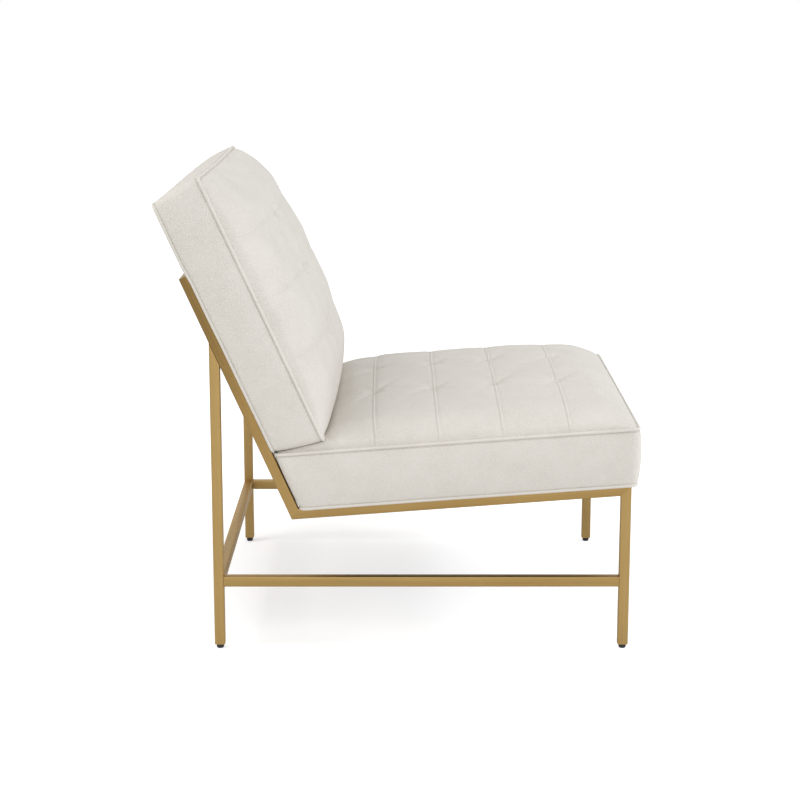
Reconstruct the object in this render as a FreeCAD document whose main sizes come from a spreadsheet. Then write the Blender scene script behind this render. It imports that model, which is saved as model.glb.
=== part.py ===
import FreeCAD, Part

import math
import os
import Sketcher

# Armless lounge chair: a welded square-tube frame that carries a tufted leather seat cushion
# and a tufted leather back cushion. Lengths are millimetres and angles are degrees. The row
# frame has +Z up, the front towards -Y, and its origin on the floor below the chair's middle.

SIZES = {
    # Welded frame
    "tube_side": 19.05,
    "tube_wall": 1.5,
    "frame_width": 740.7,
    "frame_depth": 777.3,
    "frame_rear": 352.4,
    "leg_bottom": 8.3,
    "stretcher_height": 121.6,
    "bend_reach": 147.7,
    "bend_height": 251.7,
    "seat_slope": 4.2,
    "back_lean": 23.92,
    "post_length": 491.4,
    "post_cap_thickness": 2.0,
    "rear_rail_reach": 36.0,
    "front_rail_setback": 2.0,
    "lower_rail_height": 176.0,
    # Levelling glides
    "glide_diameter": 14.0,
    "glide_foot_diameter": 11.0,
    "glide_gap": 0.2,
    "stem_diameter": 6.0,
    "stem_length": 17.0,
    "stem_clearance": 0.05,
    "socket_length": 22.0,
    "socket_fit": 0.1,
    # Leather, welts and linings
    "leather_thickness": 1.8,
    "welt_radius": 3.2,
    "welt_clearance": 0.3,
    "foam_clearance": 0.3,
    "lining_thickness": 0.8,
    "lining_clearance": 0.4,
    "cover_margin": 42.0,
    "side_clearance": 0.15,
    "corner_radius": 12.0,
    "draw_in": 2.5,
    "crown_rim": 0.4,
    "pillow_swell": 5.0,
    # Cushion boards and their fasteners
    "board_thickness": 12.0,
    "board_inset": 14.0,
    "screw_spread": 520.0,
    "screw_diameter": 6.0,
    "screw_hole": 6.6,
    "screw_head_diameter": 10.5,
    "screw_head_height": 3.3,
    "nut_flange_diameter": 18.0,
    "nut_flange_thickness": 1.4,
    "nut_barrel_diameter": 8.0,
    "nut_clearance": 0.1,
    # Seat cushion
    "seat_boxing": 106.0,
    "seat_bulge": 3.6,
    "seat_front_bulge": 1.0,
    "seat_front_overhang": 12.6,
    "seat_back_gap": 2.5,
    "seat_crown": 62.0,
    "seat_shoulder_run": 60.0,
    "seat_shoulder_rise": 45.0,
    "seat_tuft_rise": 54.5,
    "seat_seam_first": 168.5,
    "seat_seam_pitch": 118.0,
    "seat_seams": 4,
    # Back cushion
    "back_boxing": 92.0,
    "back_bulge": 2.6,
    "back_rear_length": 502.0,
    "back_lift": 1.2,
    "back_bottom_drop": 10.2,
    "back_top_rise": 10.5,
    "back_top_bulge": 11.0,
    "back_crown": 89.5,
    "back_shoulder_run": 67.0,
    "back_shoulder_rise": 58.0,
    "back_tuft_rise": 84.0,
    "back_seam_first": 273.4,
    "back_seam_pitch": 122.0,
    "back_seams": 3,
    # Sewing
    "tuft_offset": 122.0,
    "channel_depth": 1.5,
    "tuft_depth": 6.5,
}

# How far the crown has risen, as a share, at distances in from the cushion's end.
SEAT_REAR_ROLL = ((0, 0.02), (84, 0.30), (108, 0.69), (140, 0.88), (200, 1.0))
SEAT_FRONT_ROLL = ((0, 0.02), (22, 0.42), (58, 0.75), (84, 0.84), (124, 0.90), (200, 1.0))
BACK_BOTTOM_ROLL = ((0, 0.02), (20, 0.30), (52, 0.58), (96, 0.85), (200, 1.0))
BACK_TOP_ROLL = ((0, 0.02), (12, 0.40), (40, 0.70), (80, 0.87), (200, 1.0))

# Expressions for the three planes that the chair is built on. Each has its own origin: the
# floor plane starts at the rear legs, and the seat and back planes start at the frame's bend.
FLOOR = ("0", "Sizes.frame_rear", "0", "0")
BEND = ("0", "Sizes.frame_rear - Sizes.bend_reach", "Sizes.bend_height")
SEAT = BEND + ("Sizes.seat_slope",)
BACK = BEND + ("Sizes.back_lean",)

TUBE = "Sizes.tube_side"
WALL = "Sizes.tube_wall"
SIDE_X = "(Sizes.frame_width - Sizes.tube_side) / 2"
INNER_WIDTH = "Sizes.frame_width - 2 * Sizes.tube_side"
BEND_CUT = "1 / tan((90 + Sizes.back_lean - Sizes.seat_slope) / 2)"
FRONT_CUT = "1 / tan((90 - Sizes.seat_slope) / 2)"
RAIL_LENGTH = (
    "(Sizes.frame_depth - Sizes.bend_reach + Sizes.tube_side * sin(Sizes.seat_slope))"
    " / cos(Sizes.seat_slope)"
)
LEG_TOP = (
    f"Sizes.bend_height + {RAIL_LENGTH} * sin(Sizes.seat_slope)"
    " + Sizes.tube_side * cos(Sizes.seat_slope)"
)

doc = FreeCAD.newDocument("LoungeChair")
sheet = doc.addObject("Spreadsheet::Sheet", "Sizes")
for row, (alias, value) in enumerate(SIZES.items(), start=1):
    sheet.set(f"A{row}", alias)
    sheet.set(f"B{row}", str(value))
    sheet.setAlias(f"B{row}", alias)
doc.recompute()

parts = []


# Helpers for the parametric bodies

def size(alias):
    return float(sheet.get(alias))


def placement_text(plane, x="0"):
    """The placement expression of a sub-part that stands on one of the chair's planes."""
    return (
        f"placement(vector({x};{plane[1]};{plane[2]});"
        f"rotation(vector(-1;0;0);{plane[3]}))"
    )


def new_body(label):
    body = doc.addObject("PartDesign::Body", label)
    body.Label = label
    parts.append(body)
    return body


def new_sketch(body, role, name):
    sketch = body.newObject("Sketcher::SketchObject", name)
    plane = next(item for item in body.Origin.OriginFeatures if item.Role == role)
    sketch.AttachmentSupport = [(plane, "")]
    sketch.MapMode = "FlatFace"
    return sketch


def evaluate(text):
    """The present value of an expression, which a sketch needs as its first guess."""
    return float(getattr(sheet.evalExpression(text), "Value", sheet.evalExpression(text)))


def add_polygon(sketch, corners):
    """Draw a closed polygon whose corners are pairs of expressions."""
    first = sketch.GeometryCount
    spots = [FreeCAD.Vector(evaluate(a), evaluate(b), 0) for a, b in corners]
    count = len(corners)
    for index in range(count):
        line = Part.LineSegment(spots[index], spots[(index + 1) % count])
        sketch.addGeometry(line, False)
    for index in range(count):
        following = first + (index + 1) % count
        sketch.addConstraint(Sketcher.Constraint("Coincident", first + index, 2, following, 1))
    for index, (across, up) in enumerate(corners):
        for kind, text in (("DistanceX", across), ("DistanceY", up)):
            bare = Sketcher.Constraint(kind, -1, 1, first + index, 1, evaluate(text))
            number = sketch.addConstraint(bare)
            sketch.setExpression(f"Constraints[{number}]", text)


def add_circle(sketch, across, up, diameter):
    """Draw a circle whose centre and diameter are expressions."""
    centre = FreeCAD.Vector(evaluate(across), evaluate(up), 0)
    circle = Part.Circle(centre, FreeCAD.Vector(0, 0, 1), evaluate(diameter) / 2)
    index = sketch.addGeometry(circle, False)
    for kind, text in (("DistanceX", across), ("DistanceY", up)):
        number = sketch.addConstraint(
            Sketcher.Constraint(kind, -1, 1, index, 3, evaluate(text))
        )
        sketch.setExpression(f"Constraints[{number}]", text)
    number = sketch.addConstraint(Sketcher.Constraint("Diameter", index, evaluate(diameter)))
    sketch.setExpression(f"Constraints[{number}]", diameter)


def pad(body, sketch, length):
    """Fill a sketch out, half of the length to each side of its plane."""
    feature = body.newObject("PartDesign::Pad", "Pad")
    feature.Profile = sketch
    feature.Midplane = True
    feature.setExpression("Length", length)
    return feature


def pocket(body, sketch, length):
    """Cut a sketch through the body, half of the length to each side of its plane."""
    doc.recompute()
    before = body.Shape.Volume
    feature = body.newObject("PartDesign::Pocket", "Pocket")
    feature.Profile = sketch
    feature.Midplane = True
    feature.setExpression("Length", length)
    doc.recompute()
    if body.Shape.Volume >= before:
        raise ValueError(f"a pocket of {body.Label} cuts nothing")
    return feature


def mitred_tube(label, plane, x, run, across, start, start_cut, end, end_cut):
    """A square tube along a plane of the chair's side view, with its ends cut at a slant.

    run is "reach" or "height", the way that the tube goes. across is where its first face
    lies. start and end are where that face begins and stops, and each cut is how much
    further the end lies for each millimetre across the tube.
    """
    def corner(depth, place, cut):
        along = f"({place}) + ({cut}) * ({depth})"
        side = f"({across}) + ({depth})"
        if run == "reach":
            return f"-({along})", side
        return f"-({side})", along

    def quad(near, far):
        return [
            corner(near, start, start_cut),
            corner(near, end, end_cut),
            corner(far, end, end_cut),
            corner(far, start, start_cut),
        ]

    body = new_body(label)
    outline = new_sketch(body, "YZ_Plane", "Outline")
    add_polygon(outline, quad("0", TUBE))
    pad(body, outline, TUBE)
    bore = new_sketch(body, "YZ_Plane", "Bore")
    add_polygon(bore, quad(WALL, f"{TUBE} - {WALL}"))
    pocket(body, bore, f"{TUBE} - 2 * {WALL}")
    body.setExpression("Placement", placement_text(plane, x))
    return body


def square(reach, height, side, inset="0"):
    """The corners of a square section, inset on all four sides."""
    near = f"-({reach}) - ({inset})"
    far = f"-({reach}) - ({side}) + ({inset})"
    low = f"({height}) + ({inset})"
    high = f"({height}) + ({side}) - ({inset})"
    return [(near, low), (far, low), (far, high), (near, high)]


def cross_tube(label, plane, reach, height, holes=None):
    """A square tube between the two side frames, with screw holes where holes says.

    holes is None, "up" for holes along the plane's height or "forward" for holes along
    its reach.
    """
    body = new_body(label)
    section = new_sketch(body, "YZ_Plane", "Section")
    add_polygon(section, square(reach, height, TUBE))
    add_polygon(section, square(reach, height, TUBE, WALL))
    pad(body, section, INNER_WIDTH)
    if holes:
        role = "XY_Plane" if holes == "up" else "XZ_Plane"
        middle = f"-({reach}) - {TUBE} / 2" if holes == "up" else f"({height}) + {TUBE} / 2"
        drilled = new_sketch(body, role, "ScrewHoles")
        for hand in ("-", ""):
            add_circle(drilled, f"{hand}Sizes.screw_spread / 2", middle, "Sizes.screw_hole")
        reach_of_cut = f"({height}) + {TUBE}" if holes == "up" else f"({reach}) + {TUBE}"
        pocket(body, drilled, f"2 * (abs({reach_of_cut}) + {TUBE})")
    body.setExpression("Placement", placement_text(plane))
    return body


# Side frames: legs, seat rails, back posts and stretchers

HANDS = (("left", SIDE_X), ("right", f"-{SIDE_X}"))
for hand, x in HANDS:
    mitred_tube(
        f"rear_leg_{hand}", FLOOR, x, "height", "0",
        "Sizes.leg_bottom", "0",
        "Sizes.bend_height + Sizes.bend_reach / tan(Sizes.back_lean)",
        "-1 / tan(Sizes.back_lean)",
    )
    mitred_tube(
        f"front_leg_{hand}", FLOOR, x, "height", f"Sizes.frame_depth - {TUBE}",
        "Sizes.leg_bottom", "0",
        f"{LEG_TOP} - {TUBE} * {FRONT_CUT}", FRONT_CUT,
    )
    mitred_tube(
        f"seat_rail_{hand}", SEAT, x, "reach", "0",
        "0", BEND_CUT,
        f"{RAIL_LENGTH} - {TUBE} * {FRONT_CUT}", FRONT_CUT,
    )
    mitred_tube(
        f"back_post_{hand}", BACK, x, "height", "0",
        "0", BEND_CUT,
        "Sizes.post_length - Sizes.post_cap_thickness", "0",
    )
    mitred_tube(
        f"side_stretcher_{hand}", FLOOR, x, "reach", "Sizes.stretcher_height",
        TUBE, "0", f"Sizes.frame_depth - {TUBE}", "0",
    )
    cap = new_body(f"post_cap_{hand}")
    plate = new_sketch(cap, "YZ_Plane", "Plate")
    cap_bottom = "Sizes.post_length - Sizes.post_cap_thickness"
    add_polygon(plate, [
        ("0", cap_bottom),
        (f"-{TUBE}", cap_bottom),
        (f"-{TUBE}", "Sizes.post_length"),
        ("0", "Sizes.post_length"),
    ])
    pad(cap, plate, TUBE)
    cap.setExpression("Placement", placement_text(BACK, x))


# Cross tubes that join the side frames and carry the cushions

FRONT_RAIL_REACH = f"{RAIL_LENGTH} - {TUBE} - Sizes.front_rail_setback"
TOP_RAIL_HEIGHT = f"Sizes.post_length - {TUBE}"
cross_tube("rear_stretcher", FLOOR, "0", "Sizes.stretcher_height")
cross_tube("seat_rear_rail", SEAT, "Sizes.rear_rail_reach", "0", holes="up")
cross_tube("seat_front_rail", SEAT, FRONT_RAIL_REACH, "0", holes="up")
cross_tube("back_lower_rail", BACK, "0", "Sizes.lower_rail_height", holes="forward")
cross_tube("back_top_rail", BACK, "0", TOP_RAIL_HEIGHT, holes="forward")


# Levelling glides and the threaded sockets that hold them in the leg ends

LEG_REACHES = (("rear", f"{TUBE} / 2"), ("front", f"Sizes.frame_depth - {TUBE} / 2"))
SOCKET_SIDE = f"({TUBE} - 2 * {WALL} - 2 * Sizes.socket_fit)"
FOOT_HEIGHT = "Sizes.leg_bottom - Sizes.glide_gap"
for end, reach in LEG_REACHES:
    for hand, x in HANDS:
        spot = f"placement(vector({x};Sizes.frame_rear - ({reach});0);rotation(vector(0;0;1);0))"
        socket = new_body(f"glide_socket_{end}_{hand}")
        section = new_sketch(socket, "XZ_Plane", "Section")
        half = f"{SOCKET_SIDE} / 2"
        socket_top = "Sizes.leg_bottom + Sizes.socket_length"
        add_polygon(section, [
            (f"-{half}", "Sizes.leg_bottom"),
            (half, "Sizes.leg_bottom"),
            (half, socket_top),
            (f"-{half}", socket_top),
        ])
        pad(socket, section, SOCKET_SIDE)
        bore = new_sketch(socket, "XY_Plane", "Bore")
        add_circle(bore, "0", "0", "Sizes.stem_diameter + 2 * Sizes.stem_clearance")
        pocket(socket, bore, f"4 * ({socket_top})")
        socket.setExpression("Placement", spot)

        glide = new_body(f"glide_{end}_{hand}")
        profile = new_sketch(glide, "XZ_Plane", "Profile")
        stem = "Sizes.stem_diameter / 2"
        add_polygon(profile, [
            ("0", "0"),
            ("Sizes.glide_foot_diameter / 2", "0"),
            ("Sizes.glide_diameter / 2", f"({FOOT_HEIGHT}) / 4"),
            ("Sizes.glide_diameter / 2", FOOT_HEIGHT),
            (stem, FOOT_HEIGHT),
            (stem, f"{FOOT_HEIGHT} + Sizes.stem_length"),
            ("0", f"{FOOT_HEIGHT} + Sizes.stem_length"),
        ])
        turned = glide.newObject("PartDesign::Revolution", "Turned")
        turned.Profile = profile
        turned.ReferenceAxis = (profile, ["V_Axis"])
        turned.Angle = 360
        glide.setExpression("Placement", spot)


# Cushion forms

TUBE_SIDE = size("tube_side")
SLOPE = math.radians(size("seat_slope"))
LEAN = math.radians(size("back_lean"))
THICK = size("leather_thickness")
WELT = size("welt_radius")
FOLD = WELT + size("welt_clearance")
EDGE = FOLD + THICK
PATH_HALF_WIDTH = size("frame_width") / 2 + size("side_clearance") + WELT

# How far a cutting shape reaches past what it cuts, for whole crowns and for small cuts.
OVERCUT = 3.0
PROUD = 0.5

# A side that is bowed by less than this is drawn as a line.
STRAIGHT = 0.02

# Where a shoulder's arc passes, as shares of its run and of its rise.
ROLL_PLACE = 0.3
ROLL_SHARE = 0.58

# How near to a seam a slice of the crown may lie, as a share of the seams' pitch.
PANEL_MARGIN = 0.25


def share_at(table, distance):
    """The crown's share of its full rise, this far in from an end."""
    for (near, low), (far, high) in zip(table, table[1:]):
        if distance <= near:
            return low
        if distance <= far:
            return low + (high - low) * (distance - near) / (far - near)
    return 1.0


def interpolate(low, high, share):
    return low + (high - low) * share


class Cushion:
    """A boxed cushion. x goes across it, q along it, and depth out from what it rests on."""

    def __init__(self, name, point, first, last, end_bulge, rolls):
        self.name = name
        self.point = point
        self.first = first
        self.last = last
        self.end_bulge = end_bulge
        self.rolls = rolls
        self.rest = TUBE_SIDE
        self.low_welt = self.rest + WELT + size("welt_clearance")
        self.high_welt = self.rest + size(f"{name}_boxing")
        self.bulge = size(f"{name}_bulge")
        seams = int(round(size(f"{name}_seams")))
        start = size(f"{name}_seam_first")
        pitch = size(f"{name}_seam_pitch")
        self.seams = [start + pitch * index for index in range(seams)]

    def outline(self, depth, inset=0.0, swell=0.0):
        """A closed wire round the cushion at one depth, as four sides and four corners.

        swell is how far the boxing has filled out here: at 0, by the welts, the sides are
        drawn in between the corners, and at 1 they stand past the welts. The first end
        presses on what lies behind it, so it bulges no further than the welts. The last
        end bulges once more at its middle.
        """
        grow = swell * (WELT + self.bulge) - inset
        radius = size("corner_radius") + grow
        half = PATH_HALF_WIDTH + grow - radius
        low = self.first(depth) - grow + radius + swell * self.bulge
        high = self.last(depth) + grow - radius
        centres = [(-half, low), (half, low), (half, high), (-half, high)]
        normals = [(0, -1), (1, 0), (0, 1), (-1, 0)]
        sides = []
        for index, normal in enumerate(normals):
            outward = FreeCAD.Vector(*normal, 0)
            one = FreeCAD.Vector(*centres[index], 0)
            two = FreeCAD.Vector(*centres[(index + 1) % 4], 0)
            bulge = -size("draw_in") * (1 - swell)
            if index == 2:
                bulge += swell * self.end_bulge
            sides.append(side_spots(one, two, outward, radius, bulge))
        edges = []
        for index in range(4):
            centre = FreeCAD.Vector(*centres[(index + 1) % 4], 0)
            end = sides[index][-1]
            following = sides[(index + 1) % 4][0]
            outward = ((end - centre) + (following - centre)).normalize()
            edges.append(self.edge(sides[index], depth))
            edges.append(self.edge([end, centre + outward * radius, following], depth))
        return Part.Wire(edges)

    def edge(self, flat_spots, depth):
        """A line through two spots, or an arc through three, at one depth."""
        spots = [self.point(spot.x, spot.y, depth) for spot in flat_spots]
        if len(spots) == 2:
            return Part.makeLine(*spots)
        return Part.Arc(*spots).toShape()

    def welt(self, depth):
        """The piping cord along the seam at one depth."""
        path = self.outline(depth)
        edge = path.Edges[0]
        ring = Part.Circle()
        ring.Center = edge.valueAt(edge.FirstParameter)
        ring.Axis = edge.tangentAt(edge.FirstParameter)
        ring.XAxis = self.point(0, 0, 1) - self.point(0, 0, 0)
        ring.Radius = WELT
        return path.makePipeShell([Part.Wire(ring.toShape())], True, True)

    def box(self, inset, low, high):
        """The boxing's filled-out form between two depths, inset from its outer face."""
        centre = (self.low_welt + self.high_welt) / 2
        wires = []
        for depth in (low, (low + high) / 2, high):
            off = (depth - centre) / (self.high_welt - centre)
            wires.append(self.outline(depth, inset, max(1 - off ** 2, 0.0)))
        return Part.makeLoft(wires, True, False)

    def slab(self, inset, low, high):
        """A flat layer between two depths, with its sides inset from the welts' path."""
        thickness = self.point(0, 0, high) - self.point(0, 0, low)
        return Part.Face(self.outline(low, inset)).extrude(thickness)

    def stepped(self, inset, low, high):
        """The boxing's form, which steps in beside the two cords. inset is from its face."""
        fold = FOLD + inset
        bottom = max(low, self.low_welt + fold)
        top = self.high_welt - fold
        form = self.box(inset, bottom, top).fuse(self.slab(fold, top - OVERCUT, high))
        if low < bottom:
            form = form.fuse(self.slab(fold, low, bottom + OVERCUT))
        return form

    def crown_section(self, q, sewn, inset, base):
        """One slice across the crown, where sewn slices lie on a seam.

        The slice reaches past the welts' path, which trims it later.
        """
        first = self.first(self.high_welt)
        last = self.last(self.high_welt)
        share = min(
            share_at(self.rolls[0], q - first - inset),
            share_at(self.rolls[1], last - q - inset),
        )
        offset = (2 * q - first - last) / (last - first)
        drawn = size("draw_in") * (1 - offset ** 2)
        half = PATH_HALF_WIDTH - drawn - size("crown_rim") - inset
        channel = size("channel_depth") if sewn else 0.0
        tuft = size("tuft_depth") if sewn else 0.0
        shoulder = size(f"{self.name}_shoulder_rise") - 2 * channel
        tufted = size(f"{self.name}_tuft_rise") - tuft
        crest = size(f"{self.name}_crown") - channel
        run = size(f"{self.name}_shoulder_run")
        knot = size("tuft_offset")

        def level(full):
            return interpolate(EDGE, full, share) - inset

        roll = interpolate(EDGE - inset, level(shoulder), ROLL_SHARE)
        pillow = share * (size("pillow_swell") - channel / 2)
        halves = [
            (half + OVERCUT, base),
            (half + OVERCUT, EDGE - inset),
            (half, EDGE - inset),
            (half - ROLL_PLACE * run, roll),
            (half - run, level(shoulder)),
            ((half - run + knot) / 2, (level(shoulder) + level(tufted)) / 2 + pillow),
            (knot, level(tufted)),
        ]

        def at(x, rise):
            return self.point(x, q, self.high_welt + rise)

        right = [at(x, rise) for x, rise in halves]
        left = [at(-x, rise) for x, rise in halves]
        edges = [
            Part.makeLine(left[0], right[0]),
            Part.makeLine(right[0], right[1]),
            Part.makeLine(right[1], right[2]),
            Part.Arc(right[2], right[3], right[4]).toShape(),
            Part.Arc(right[4], right[5], right[6]).toShape(),
            Part.Arc(right[6], at(0, level(crest)), left[6]).toShape(),
            Part.Arc(left[6], left[5], left[4]).toShape(),
            Part.Arc(left[4], left[3], left[2]).toShape(),
            Part.makeLine(left[2], left[1]),
            Part.makeLine(left[1], left[0]),
        ]
        return Part.Wire(edges)

    def crown(self, inset, edge, low=0.0):
        """The tufted crown above the upper welt, one loft for each panel between seams.

        inset is how far it lies inside the leather's face, and edge how far its rim stays
        in from the welts' path.
        """
        first = self.first(self.high_welt)
        last = self.last(self.high_welt)
        head = [first + step for step, share in self.rolls[0]]
        tail = [last - step for step, share in self.rolls[1]]
        margin = PANEL_MARGIN * size(f"{self.name}_seam_pitch")
        panels = [[q for q in head if q < self.seams[0] - margin] + [self.seams[0]]]
        for one, two in zip(self.seams, self.seams[1:]):
            panels.append([one, (one + two) / 2, two])
        rest = sorted(q for q in tail if q > self.seams[-1] + margin)
        panels.append([self.seams[-1]] + rest)
        panels[0][0] -= OVERCUT
        panels[-1][-1] += OVERCUT
        solids = []
        for panel in panels:
            wires = [
                self.crown_section(q, q in self.seams, inset, low - OVERCUT) for q in panel
            ]
            solids.append(Part.makeLoft(wires, True, False))
        top = self.high_welt + 2 * size(f"{self.name}_crown")
        trim = self.slab(edge, self.high_welt + low, top)
        return solids[0].multiFuse(solids[1:]).common(trim)


def side_spots(one, two, outward, radius, bulge):
    """The ends of a straight side, or the three spots of one that is bowed at its middle.

    one and two are the centres of the corner circles, which the side meets smoothly. A
    negative bulge draws the side in.
    """
    if abs(bulge) < STRAIGHT:
        return [one + outward * radius, two + outward * radius]
    middle = (one + two) * 0.5
    chord = (two - one).Length / 2
    turn = math.copysign(1.0, bulge)
    reach = (chord ** 2 + bulge ** 2) / (2 * abs(bulge))
    centre = middle - outward * (turn * reach - bulge)
    start = one + (one - centre).normalize() * (turn * radius)
    end = two + (two - centre).normalize() * (turn * radius)
    return [start, middle + outward * (radius + bulge), end]


def seat_point(x, q, depth):
    return FreeCAD.Vector(x, -q, depth)


def back_point(x, q, depth):
    return FreeCAD.Vector(x, -depth, q)


BEND_HALF = (math.pi / 2 + LEAN - SLOPE) / 2
RAIL = evaluate(RAIL_LENGTH)


def seat_first(depth):
    """Rear of the seat cushion's welts, parallel to the back posts."""
    foot = TUBE_SIDE / math.tan(BEND_HALF) + size("seat_back_gap")
    return foot - (depth - TUBE_SIDE) * math.tan(LEAN - SLOPE) + WELT


def seat_last(depth):
    """Front of the seat cushion's welts, which stands upright."""
    rise = (depth - TUBE_SIDE) * math.tan(SLOPE)
    return RAIL + size("seat_front_overhang") + rise - WELT


SEAT_TOP_WELT = TUBE_SIDE + size("seat_boxing")


def seat_corner_height():
    """How high up the posts the seat cushion's rear upper welt lies."""
    swing = LEAN - SLOPE
    return (
        SEAT_TOP_WELT * math.cos(swing) - seat_first(SEAT_TOP_WELT) * math.sin(swing)
    )


BACK_FRONT_WELT = TUBE_SIDE + size("back_boxing")
BACK_FOOT = seat_corner_height() + WELT + size("back_lift")


def back_first(depth):
    """Bottom of the back cushion's welts, which drops towards the front."""
    share = (depth - TUBE_SIDE) / size("back_boxing")
    return BACK_FOOT - share * size("back_bottom_drop") + WELT


def back_last(depth):
    """Top of the back cushion's welts, which rises towards the front."""
    share = (depth - TUBE_SIDE) / size("back_boxing")
    top = BACK_FOOT + size("back_rear_length") + share * size("back_top_rise")
    return top - WELT


SEAT_CUSHION = Cushion(
    "seat", seat_point, seat_first, seat_last,
    size("seat_front_bulge"),
    (SEAT_REAR_ROLL, SEAT_FRONT_ROLL),
)
BACK_CUSHION = Cushion(
    "back", back_point, back_first, back_last,
    size("back_top_bulge"),
    (BACK_BOTTOM_ROLL, BACK_TOP_ROLL),
)


def bar(cushion, low_x, high_x, low_q, high_q, low_depth, high_depth):
    """A block between two corners given in the cushion's own directions."""
    one = cushion.point(low_x, low_q, low_depth)
    two = cushion.point(high_x, high_q, high_depth)
    low = FreeCAD.Vector(min(one.x, two.x), min(one.y, two.y), min(one.z, two.z))
    high = FreeCAD.Vector(max(one.x, two.x), max(one.y, two.y), max(one.z, two.z))
    span = high - low
    return Part.makeBox(span.x, span.y, span.z, low)


def rod(cushion, x, q, low_depth, high_depth, diameter):
    """A round bar that stands out from what the cushion rests on."""
    foot = cushion.point(x, q, low_depth)
    axis = cushion.point(x, q, high_depth) - foot
    return Part.makeCylinder(diameter / 2, high_depth - low_depth, foot, axis)


def add_shape(label, plane, shape):
    """Store a made shape as a sub-part that stands on one of the chair's planes."""
    feature = doc.addObject("Part::Feature", label)
    feature.Label = label
    feature.Shape = shape
    feature.setExpression("Placement", placement_text(plane))
    parts.append(feature)
    return feature


def cushion_parts(cushion, plane, front, rear, screw_spots):
    """The cover, welts, foam, board and fasteners of one cushion.

    front names the tufted panel and rear the lining or panel behind the board. screw_spots
    are the places of the screws along the cushion.
    """
    name = cushion.name
    clear = THICK + size("foam_clearance")

    # Tufted panel
    panel = carve(cushion.crown(0.0, FOLD), [cushion.crown(THICK, EDGE, -PROUD)])
    add_shape(f"{name}_{front}", plane, only_solid(panel))

    # Boxing with its margin turned in over the board
    floor = cushion.rest + THICK
    roof = cushion.high_welt
    below = cushion.rest - PROUD
    above = floor + PROUD
    outer = cushion.stepped(0.0, cushion.rest, roof)
    hollow = cushion.stepped(THICK, floor, roof + PROUD)
    margin = size("cover_margin")
    window = (
        PATH_HALF_WIDTH - margin,
        cushion.first(cushion.rest) + margin,
        cushion.last(cushion.rest) - margin,
    )
    opening = bar(cushion, -window[0], window[0], window[1], window[2], below, above)
    spots = [
        (hand * size("screw_spread") / 2, q) for q in screw_spots for hand in (-1, 1)
    ]
    holes = [rod(cushion, x, q, below, above, size("screw_hole")) for x, q in spots]
    boxing = carve(outer, [hollow, opening]).cut(holes)
    add_shape(f"{name}_boxing_cover", plane, only_solid(boxing))

    # Lining that closes the window in the cover
    slack = size("lining_clearance")
    thickness = THICK if rear == "rear_panel" else size("lining_thickness")
    lining = bar(
        cushion, slack - window[0], window[0] - slack, window[1] + slack, window[2] - slack,
        floor - thickness, floor,
    )
    add_shape(f"{name}_{rear}", plane, lining.cut(holes))

    # Piping
    add_shape(f"{name}_lower_welt", plane, cushion.welt(cushion.low_welt))
    add_shape(f"{name}_upper_welt", plane, cushion.welt(cushion.high_welt))

    # Board with countersunk seats for its nuts
    inset = size("board_inset")
    deck = floor + size("board_thickness")
    board = bar(
        cushion, inset - PATH_HALF_WIDTH, PATH_HALF_WIDTH - inset,
        cushion.first(cushion.rest) + inset, cushion.last(cushion.rest) - inset, floor, deck,
    )
    free = 2 * size("nut_clearance")
    flange = size("nut_flange_thickness")
    seats = []
    nuts = []
    screws = []
    for x, q in spots:
        barrel_seat = size("nut_barrel_diameter") + free
        flange_seat = size("nut_flange_diameter") + free
        seats.append(rod(cushion, x, q, floor - PROUD, deck + PROUD, barrel_seat))
        seats.append(rod(cushion, x, q, deck - flange, deck + PROUD, flange_seat))
        barrel = rod(cushion, x, q, floor + flange, deck, size("nut_barrel_diameter"))
        disc = rod(cushion, x, q, deck - flange, deck, size("nut_flange_diameter"))
        thread = rod(cushion, x, q, floor, deck + PROUD, size("screw_diameter") + free)
        nuts.append(barrel.fuse(disc).cut(thread).removeSplitter())
        head = rod(
            cushion, x, q, -size("screw_head_height"), 0.0, size("screw_head_diameter"),
        )
        shank = rod(cushion, x, q, 0.0, deck - flange, size("screw_diameter"))
        screws.append(head.fuse(shank).removeSplitter())
    add_shape(f"{name}_board", plane, board.cut(seats))
    add_shape(f"{name}_board_nuts", plane, Part.makeCompound(nuts))
    add_shape(f"{name}_board_screws", plane, Part.makeCompound(screws))

    # Foam: a firm block in the boxing and a soft topper in the crown
    block = cushion.stepped(clear, deck, roof)
    add_shape(f"{name}_foam_block", plane, only_solid(block))
    topper = cushion.crown(clear, FOLD + clear)
    add_shape(f"{name}_foam_topper", plane, only_solid(topper))


def carve(shape, tools):
    """Cut one tool after another out of a shape. Each has to take something away."""
    for tool in tools:
        before = shape.Volume
        shape = shape.cut(tool)
        if shape.Volume >= before:
            raise ValueError("a tool cuts nothing away")
    return shape


def only_solid(shape):
    """The one solid that a cut leaves. Any other outcome means that the cut went wrong."""
    if len(shape.Solids) != 1 or shape.Volume <= 0:
        raise ValueError(f"a cut left {len(shape.Solids)} solids")
    return shape.Solids[0]


REAR_SCREW = size("rear_rail_reach") + TUBE_SIDE / 2
FRONT_SCREW = evaluate(FRONT_RAIL_REACH) + TUBE_SIDE / 2
LOWER_SCREW = size("lower_rail_height") + TUBE_SIDE / 2
UPPER_SCREW = evaluate(TOP_RAIL_HEIGHT) + TUBE_SIDE / 2
cushion_parts(
    SEAT_CUSHION, SEAT, "top_panel", "dust_lining", (REAR_SCREW, FRONT_SCREW),
)
cushion_parts(
    BACK_CUSHION, BACK, "front_panel", "rear_panel", (LOWER_SCREW, UPPER_SCREW),
)

# Check and export

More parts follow.
